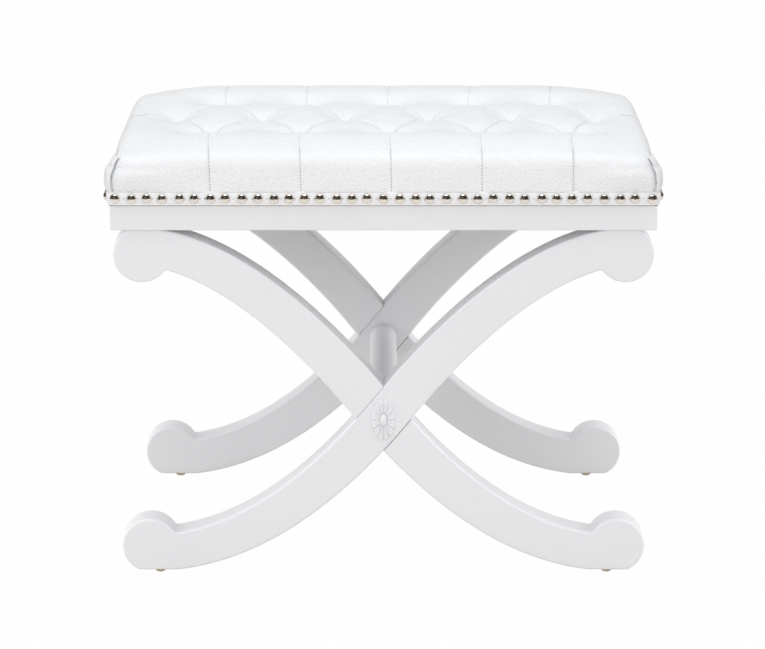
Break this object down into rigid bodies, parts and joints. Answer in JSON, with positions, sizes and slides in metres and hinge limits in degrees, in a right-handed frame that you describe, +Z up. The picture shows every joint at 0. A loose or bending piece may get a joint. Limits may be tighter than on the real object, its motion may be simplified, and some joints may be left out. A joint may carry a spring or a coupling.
{
  "type": "tufted bench",
  "caption": "Upholstered bench with a diamond-tufted leather seat, a nail-trimmed band and painted X-shaped legs joined by a round stretcher.",
  "frame": {"origin": "on the floor, under the middle of the seat", "axes": "+Z up, +X along the seat to the right as seen from the front, +Y from the front to the back"},
  "size_m": [0.6244, 0.4244, 0.505],
  "materials": {
    "white_leather": "white leather with a fine pebble grain",
    "band_leather": "white leather strip, satin",
    "button_leather": "white leather drawn over a button",
    "foam": "open upholstery foam, cream",
    "twine": "waxed twine",
    "dust_cloth": "black non-woven cloth, matt",
    "plywood": "raw birch plywood",
    "white_paint": "satin white paint on hardwood",
    "block_wood": "raw softwood",
    "nickel_nails": "polished nickel",
    "zinc_steel": "zinc-plated steel",
    "insert_brass": "raw brass",
    "glide_metal": "bronzed metal, polished"
  },
  "bodies": {
    "root": {"tufted_cover": "white_leather", "trim_band": "band_leather", "tuft_buttons": "button_leather", "foam_pad": "foam", "tuft_ties": "twine", "dust_cover": "dust_cloth", "seat_deck": "plywood", "front_rail": "white_paint", "back_rail": "white_paint", "left_rail": "white_paint", "right_rail": "white_paint", "front_leg_rising_right": "white_paint", "front_leg_rising_left": "white_paint", "back_leg_rising_right": "white_paint", "back_leg_rising_left": "white_paint", "stretcher": "white_paint", "rosette_front": "white_paint", "rosette_back": "white_paint", "corner_block_front_left": "block_wood", "corner_block_front_right": "block_wood", "corner_block_back_left": "block_wood", "corner_block_back_right": "block_wood", "trim_nails_front": "nickel_nails", "trim_nails_back": "nickel_nails", "trim_nails_left": "nickel_nails", "trim_nails_right": "nickel_nails", "leg_bolts": "zinc_steel", "leg_inserts": "insert_brass", "cross_bolts": "zinc_steel", "stretcher_inserts": "insert_brass", "block_screws": "zinc_steel", "deck_screws": "zinc_steel", "glide_front_left": "glide_metal", "glide_front_right": "glide_metal", "glide_back_left": "glide_metal", "glide_back_right": "glide_metal"}
  },
  "joints": []
}
